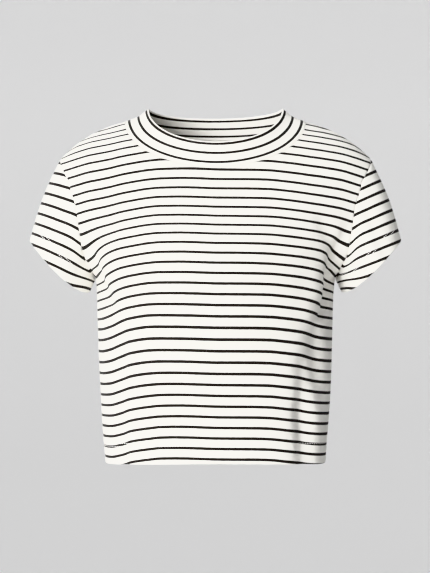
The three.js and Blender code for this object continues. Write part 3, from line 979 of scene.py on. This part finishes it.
def flat_sheet(rows, columns):
    """A new flat sheet, with the row and column that each of its points stands for."""
    deselect_all()
    bpy.ops.mesh.primitive_grid_add(x_subdivisions=columns - 1, y_subdivisions=rows - 1, size=1)
    piece = bpy.context.object
    places = np.empty(3 * len(piece.data.vertices))
    piece.data.vertices.foreach_get("co", places)
    x, y, _ = places.reshape(-1, 3).T
    row = np.rint((y - y.min()) * (rows - 1)).astype(int)
    column = np.rint((x - x.min()) * (columns - 1)).astype(int)
    return piece, row, column


def set_uv(mesh, places):
    """Writes the cloth's own coordinates: centimetres across, and the stripe count."""
    corners = np.empty(len(mesh.loops), np.int32)
    mesh.loops.foreach_get("vertex_index", corners)
    mesh.uv_layers[0].name = "cloth"
    mesh.uv_layers["cloth"].data.foreach_set("uv", as_floats(places[corners]))


def close_loop():
    """Joins the two ends of a sheet that goes all the way round."""
    bpy.ops.object.mode_set(mode="EDIT")
    bpy.ops.mesh.select_all(action="SELECT")
    bpy.ops.mesh.remove_doubles(threshold=WELD_DISTANCE)
    bpy.ops.object.mode_set(mode="OBJECT")


def add_wall(cloth):
    """Lays a sheet on the form, gives it its thickness, and sets the inside to meet its neighbours'."""
    outer, inner = (cloth.looped(side) for side in outer_and_inner(cloth))
    count = cloth.looped(stripe_count(cloth))
    across = cloth.across() * MM / CM
    if cloth.turned_over:
        outer, inner, count, across = (values[:, ::-1] for values in (outer, inner, count, across))
    piece, row, column = flat_sheet(*count.shape)
    mesh = piece.data
    set_uv(mesh, np.stack((across, count), axis=-1)[row, column])
    mesh.vertices.foreach_set("co", as_floats(outer[row, column] * MM))
    inside = mesh.attributes.new("inside", "FLOAT_VECTOR", "POINT")
    inside.data.foreach_set("vector", as_floats(inner[row, column] * MM))
    mesh.update()
    if cloth.closed:
        close_loop()
    thicken(piece)
    bpy.ops.object.shade_smooth_by_angle(angle=math.radians(SMOOTH_ANGLE))
    piece.name = cloth.name + "_cloth"
    mesh.name = piece.name
    return piece


def thicken(piece):
    """Gives the sheet a second skin, placed where the wall's inside belongs."""
    mesh = piece.data
    sheet_points = len(mesh.vertices)
    wall = piece.modifiers.new("Wall", "SOLIDIFY")
    wall.thickness = cloth_settings().thickness
    wall.offset = -1
    bpy.ops.object.modifier_apply(modifier=wall.name)
    places = np.empty(3 * len(mesh.vertices), np.float32)
    inside = np.empty(3 * len(mesh.vertices), np.float32)
    mesh.vertices.foreach_get("co", places)
    mesh.attributes["inside"].data.foreach_get("vector", inside)
    places[3 * sheet_points:] = inside[3 * sheet_points:]
    mesh.vertices.foreach_set("co", places)
    mesh.attributes.remove(mesh.attributes["inside"])
    mesh.update()


# Stitching

def stitch_shape():
    """One stitch's points and faces, lying along X."""
    deselect_all()
    bpy.ops.mesh.primitive_uv_sphere_add(segments=STITCH_SEGMENTS, ring_count=STITCH_RINGS, radius=0.5)
    one = bpy.context.object
    points = np.empty(3 * len(one.data.vertices))
    one.data.vertices.foreach_get("co", points)
    faces = [list(face.vertices) for face in one.data.polygons]
    bpy.data.objects.remove(one)
    return points.reshape(-1, 3)[:, (2, 0, 1)] * STITCH_SIZE, faces


def read_along(line, travel, places):
    """Values along a line at some distances of travel."""
    return np.stack([np.interp(places, travel, values) for values in line.T], axis=-1)


def row_at(cloth, distance):
    """Points on a piece's outside and their normals, at a distance up from its hem."""
    outer, _ = outer_and_inner(cloth)
    row = []
    for column, travel in enumerate(cloth.along().T):
        both = np.concatenate((outer[:, column], cloth.normals[:, column]), axis=1)
        row.append(read_along(both, travel, distance))
    row = cloth.looped(np.array(row)[None])[0]
    return row[:, :3], row[:, 3:]


def stitch_places(cloth, distance):
    """Each stitch's middle in one row, and its directions forwards, sideways and outwards."""
    line, normals = row_at(cloth, distance)
    steps = np.linalg.norm(np.diff(line, axis=0), axis=1)
    travel = np.concatenate(([0], np.cumsum(steps)))
    number = int(travel[-1] // STITCH_STEP)
    places = (np.arange(number) + 0.5) / number * travel[-1]
    ahead = read_along(line, travel, places + STITCH_REACH)
    behind = read_along(line, travel, places - STITCH_REACH)
    forwards = unit(ahead - behind)
    outwards = read_along(normals, travel, places)
    outwards = unit(outwards - forwards * np.sum(outwards * forwards, axis=1, keepdims=True))
    sideways = np.cross(outwards, forwards)
    middles = read_along(line, travel, places) + STITCH_PROUD * outwards
    return middles, np.stack((forwards, sideways, outwards), axis=1)


def add_stitching(cloth, name):
    """Two rows of twin-needle stitches along a hem, joined into one piece."""
    shape, shape_faces = stitch_shape()
    points, faces = [], []
    for distance in needle_rows(cloth):
        for middle, directions in zip(*stitch_places(cloth, distance)):
            base = len(points) * len(shape)
            points.append(middle + shape @ directions)
            faces.extend([[base + corner for corner in face] for face in shape_faces])
    mesh = bpy.data.meshes.new(name)
    mesh.from_pydata((np.concatenate(points) * MM).tolist(), [], faces)
    mesh.shade_smooth()
    piece = bpy.data.objects.new(name, mesh)
    bpy.context.scene.collection.objects.link(piece)
    return piece


# Materials

def new_material(name):
    """A new material, with its node tree and its shader."""
    material = bpy.data.materials.new(name)
    material.use_nodes = True
    return material, material.node_tree, material.node_tree.nodes["Principled BSDF"]


def fill(tree, node, inputs):
    """Sets a node's inputs: one that is given a socket is linked to it, any other gets the value."""
    for name, value in inputs.items():
        if isinstance(value, bpy.types.NodeSocket):
            tree.links.new(value, node.inputs[name])
        else:
            node.inputs[name].default_value = value


def add_node(tree, kind, inputs=None, **values):
    made = tree.nodes.new(kind)
    for name, value in values.items():
        setattr(made, name, value)
    fill(tree, made, inputs or {})
    return made


def object_places(tree):
    return add_node(tree, "ShaderNodeTexCoord").outputs["Object"]


def arithmetic(tree, operation, *values):
    return add_node(tree, "ShaderNodeMath", dict(enumerate(values)), operation=operation).outputs[0]


def noise(tree, places, scale, detail=2.0):
    inputs = {"Vector": places, "Scale": scale, "Detail": detail}
    return add_node(tree, "ShaderNodeTexNoise", inputs).outputs["Fac"]


def map_range(tree, value, start, end, curve="LINEAR"):
    """Takes a value from one pair of limits to another and keeps it inside them."""
    names = ("From Min", "From Max", "To Min", "To Max")
    inputs = {"Value": value, **dict(zip(names, (*start, *end)))}
    return add_node(tree, "ShaderNodeMapRange", inputs, interpolation_type=curve).outputs["Result"]


def scaled_colour(tree, colour, scale):
    inputs = {0: colour, "Scale": scale}
    return add_node(tree, "ShaderNodeVectorMath", inputs, operation="SCALE").outputs[0]


def mix_colours(tree, factor, first, second):
    """Mixes two colours, each a socket or a fixed colour."""
    made = add_node(tree, "ShaderNodeMix", {0: factor}, data_type="RGBA")
    ends = [place for place, socket in enumerate(made.inputs) if socket.type == "RGBA"]
    fill(tree, made, dict(zip(ends, (first, second))))
    return next(socket for socket in made.outputs if socket.type == "RGBA")


def bumped(tree, height, strength, distance):
    inputs = {"Height": height, "Strength": strength, "Distance": distance}
    return add_node(tree, "ShaderNodeBump", inputs).outputs["Normal"]


def knit_waves(tree, across, count):
    """Wales and courses, as waves about nought."""
    waves = []
    for along, number in ((across, WALES_PER_CM), (count, COURSES_PER_STRIPE)):
        turned = arithmetic(tree, "MULTIPLY", along, 2 * math.pi * number)
        waves.append(arithmetic(tree, "SINE", turned))
    wales, courses = waves
    return arithmetic(tree, "MULTIPLY_ADD", courses, COURSE_STRENGTH, wales)


def inside_stripe(tree, places, count):
    """One inside a stripe and nought outside it, with edges that wander a little."""
    wander = noise(tree, places, WANDER_SCALE)
    shift = arithmetic(tree, "MULTIPLY_ADD", wander, STRIPE_WANDER, -STRIPE_WANDER / 2)
    moved = arithmetic(tree, "ADD", count, shift)
    from_middle = arithmetic(tree, "PINGPONG", moved, 0.5)
    half = cloth_settings().stripe_share / 2
    edge = (half - STRIPE_SOFTNESS, half + STRIPE_SOFTNESS)
    return map_range(tree, from_middle, edge, (1.0, 0.0), curve="SMOOTHSTEP")


def jersey_material():
    """Off-white jersey with knitted stripes: wales, courses, fuzz, slightly uneven dye and a faint
    shade painted along the knit's wales and courses.
    """
    settings = cloth_settings()
    material, tree, shader = new_material("knitted_jersey")
    places = object_places(tree)
    cloth_map = add_node(tree, "ShaderNodeUVMap", uv_map="cloth").outputs["UV"]
    across, count, _ = add_node(tree, "ShaderNodeSeparateXYZ", {0: cloth_map}).outputs
    knit = knit_waves(tree, across, count)
    fuzz = noise(tree, places, FUZZ_SCALE, detail=3.0)
    relief = arithmetic(tree, "MULTIPLY_ADD", fuzz, FUZZ_STRENGTH, knit)
    dye = map_range(tree, noise(tree, places, DYE_SCALE, detail=3.0), DYE_NOISE, DYE_SHADES)
    # The knit's waves paint a faint shade of its relief into the colour, on top of the dye's uneven
    # tone
    dye_and_painted_knit_shade = arithmetic(tree, "MULTIPLY_ADD", knit, KNIT_PAINTED_SHADE, dye)
    ground = scaled_colour(tree, settings.ground, dye_and_painted_knit_shade)
    in_stripe = inside_stripe(tree, places, count)
    fill(tree, shader, {
        "Base Color": mix_colours(tree, in_stripe, ground, (*settings.stripe, 1)),
        "Roughness": map_range(tree, fuzz, (0.0, 1.0), KNIT_ROUGHNESS),
        "Normal": bumped(tree, relief, **KNIT_BUMP),
        **KNIT_SURFACE,
    })
    return material


def thread_material():
    """White sewing thread with a fine ply."""
    material, tree, shader = new_material("hem_thread")
    ply = noise(tree, object_places(tree), PLY_SCALE)
    fill(tree, shader, {
        "Base Color": mix_colours(tree, ply, *PLY_COLOURS),
        "Roughness": THREAD_ROUGHNESS,
        "Normal": bumped(tree, ply, **PLY_BUMP),
    })
    return material


def backdrop_material():
    """Matt paper with a faint grain and a little light of its own."""
    material, tree, shader = new_material("backdrop_paper")
    places = object_places(tree)
    tone = map_range(tree, noise(tree, places, PAPER_SCALE), (0.0, 1.0), PAPER_TONES)
    towards_back = add_node(tree, "ShaderNodeSeparateXYZ", {0: places}).outputs["Y"]
    fill(tree, shader, {
        "Base Color": scaled_colour(tree, stage_settings().backdrop, tone),
        "Emission Strength": map_range(
            tree, towards_back, GLOW_PLACES, GLOW_STRENGTHS, curve="SMOOTHSTEP"),
        **PAPER_SURFACE,
    })
    return material


def material_named(name, make):
    return bpy.data.materials.get(name) or make()


def wear(piece, material):
    piece.data.materials.clear()
    piece.data.materials.append(material)


# Finished pieces

CLOTHS = {}


def add_hemmed_piece(name):
    """A piece with a stitched hem: its wall of cloth and its stitching, attached to the body."""
    cloth = CLOTHS[name]
    piece = add_wall(cloth)
    wear(piece, material_named("knitted_jersey", jersey_material))
    stitches = add_stitching(cloth, name + "_stitches")
    wear(stitches, material_named("hem_thread", thread_material))
    for made in (piece, stitches):
        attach(made, BODY)
    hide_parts(name)


class CROPTOP_OT_front(bpy.types.Operator):
    """Add the front panel and the stitching of its hem"""

    bl_idname = "croptop.front"
    bl_label = "Front panel"

    def execute(self, context):
        add_hemmed_piece("front")
        return {"FINISHED"}


class CROPTOP_OT_back(bpy.types.Operator):
    """Add the back panel and the stitching of its hem"""

    bl_idname = "croptop.back"
    bl_label = "Back panel"

    def execute(self, context):
        add_hemmed_piece("back")
        return {"FINISHED"}


class CROPTOP_OT_sleeves(bpy.types.Operator):
    """Add both sleeves and the stitching of their hems"""

    bl_idname = "croptop.sleeves"
    bl_label = "Sleeves"

    def execute(self, context):
        add_hemmed_piece("sleeve_left")
        add_hemmed_piece("sleeve_right")
        return {"FINISHED"}


class CROPTOP_OT_neckband(bpy.types.Operator):
    """Add the doubled neckband"""

    bl_idname = "croptop.neckband"
    bl_label = "Neckband"

    def execute(self, context):
        piece = add_wall(CLOTHS["neckband"])
        wear(piece, material_named("knitted_jersey", jersey_material))
        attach(piece, BODY)
        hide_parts("neckband")
        return {"FINISHED"}


# Stage

def add_camera():
    settings = stage_settings()
    data = bpy.data.cameras.new("camera")
    data.sensor_fit = "VERTICAL"
    data.sensor_height = SENSOR_HEIGHT
    data.lens = SENSOR_HEIGHT * settings.camera_distance / settings.view_height
    camera = bpy.data.objects.new("camera", data)
    camera.location = (CAMERA_X, -settings.camera_distance, VIEW_MIDDLE)
    camera.rotation_euler = (math.pi / 2, 0, 0)
    bpy.context.scene.collection.objects.link(camera)
    bpy.context.scene.camera = camera


def add_light(name, place, size, power, colour):
    data = bpy.data.lights.new(name, "AREA")
    data.shape = "DISK"
    data.size = size
    data.energy = power
    data.color = colour
    light = bpy.data.objects.new(name, data)
    light.location = place
    aim = unit(np.array((0, 0, VIEW_MIDDLE)) - place)
    light.rotation_euler = (math.acos(-aim[2]), 0, math.atan2(aim[1], aim[0]) - math.pi / 2)
    light.visible_camera = False
    bpy.context.scene.collection.objects.link(light)


def wall_rings():
    """Radius and height of each ring of the backdrop's wall, up from the floor."""
    turn = np.linspace(0, math.pi / 2, WALL_CURVE_STEPS + 1)[1:]
    radii = FLOOR_RADIUS + WALL_CURVE * np.sin(turn)
    heights = FLOOR_HEIGHT + WALL_CURVE * (1 - np.cos(turn))
    return [*zip(radii.tolist(), heights.tolist()), (FLOOR_RADIUS + WALL_CURVE, WALL_TOP)]


def add_backdrop():
    """A round floor that sweeps up into a wall on every side."""
    deselect_all()
    bpy.ops.mesh.primitive_circle_add(
        vertices=BACKDROP_SIDES, radius=FLOOR_RADIUS, fill_type="NGON", location=(0, 0, FLOOR_HEIGHT))
    backdrop = bpy.context.object
    bpy.ops.object.transform_apply(location=True, rotation=True, scale=True)
    bpy.ops.object.mode_set(mode="EDIT")
    bpy.ops.mesh.select_all(action="SELECT")
    bpy.ops.mesh.inset(thickness=FLOOR_RIM)
    bpy.ops.mesh.select_all(action="DESELECT")
    bpy.ops.mesh.select_mode(type="EDGE")
    bpy.ops.mesh.select_non_manifold()
    radius, height = FLOOR_RADIUS, FLOOR_HEIGHT
    for next_radius, next_height in wall_rings():
        bpy.ops.mesh.extrude_edges_move(TRANSFORM_OT_translate={"value": (0, 0, next_height - height)})
        grow = next_radius / radius
        bpy.ops.transform.resize(value=(grow, grow, 1), center_override=(0, 0, 0))
        radius, height = next_radius, next_height
    bpy.ops.mesh.select_all(action="SELECT")
    bpy.ops.mesh.normals_make_consistent(inside=True)
    bpy.ops.object.mode_set(mode="OBJECT")
    bpy.ops.object.shade_smooth()
    backdrop.name = "backdrop"
    wear(backdrop, backdrop_material())


def add_sky():
    world = bpy.data.worlds.new("studio")
    world.use_nodes = True
    sky = world.node_tree.nodes["Background"]
    sky.inputs["Color"].default_value = SKY_COLOUR
    sky.inputs["Strength"].default_value = SKY_STRENGTH
    bpy.context.scene.world = world
    bpy.context.scene.view_settings.view_transform = "Khronos PBR Neutral"


class CROPTOP_OT_stage(bpy.types.Operator):
    """Add the camera, the lights and a plain pale floor and backdrop"""

    bl_idname = "croptop.stage"
    bl_label = "Stage"

    def execute(self, context):
        add_camera()
        add_sky()
        for light in LIGHTS:
            add_light(*light)
        add_backdrop()
        return {"FINISHED"}


class CROPTOP_PT_panel(bpy.types.Panel):
    """Crop top pieces and their settings"""

    bl_idname = "CROPTOP_PT_panel"
    bl_label = "Crop top"
    bl_space_type = "VIEW_3D"
    bl_region_type = "UI"
    bl_category = "Crop top"

    def draw(self, context):
        for name in ("thickness", "band_thickness", "ground", "stripe", "stripe_share"):
            self.layout.prop(context.scene.crop_top_cloth, name)
        for name in ("camera_distance", "view_height", "backdrop"):
            self.layout.prop(context.scene.crop_top_stage, name)
        for operator in OPERATORS:
            self.layout.operator(operator.bl_idname)


OPERATORS = (
    CROPTOP_OT_stage,
    CROPTOP_OT_front,
    CROPTOP_OT_back,
    CROPTOP_OT_sleeves,
    CROPTOP_OT_neckband,
)
CLASSES = (ClothSettings, StageSettings, *OPERATORS, CROPTOP_PT_panel)


def register():
    for made in CLASSES:
        bpy.utils.register_class(made)
    bpy.types.Scene.crop_top_cloth = bpy.props.PointerProperty(type=ClothSettings)
    bpy.types.Scene.crop_top_stage = bpy.props.PointerProperty(type=StageSettings)


def unregister():
    del bpy.types.Scene.crop_top_stage
    del bpy.types.Scene.crop_top_cloth
    for made in reversed(CLASSES):
        bpy.utils.unregister_class(made)


def main():
    register()
    bpy.ops.croptop.stage()
    CLOTHS.update(make_cloths())
    bpy.ops.croptop.front()
    bpy.ops.croptop.back()
    bpy.ops.croptop.sleeves()
    bpy.ops.croptop.neckband()
    bpy.context.view_layer.update()


if __name__ == "__main__":
    main()
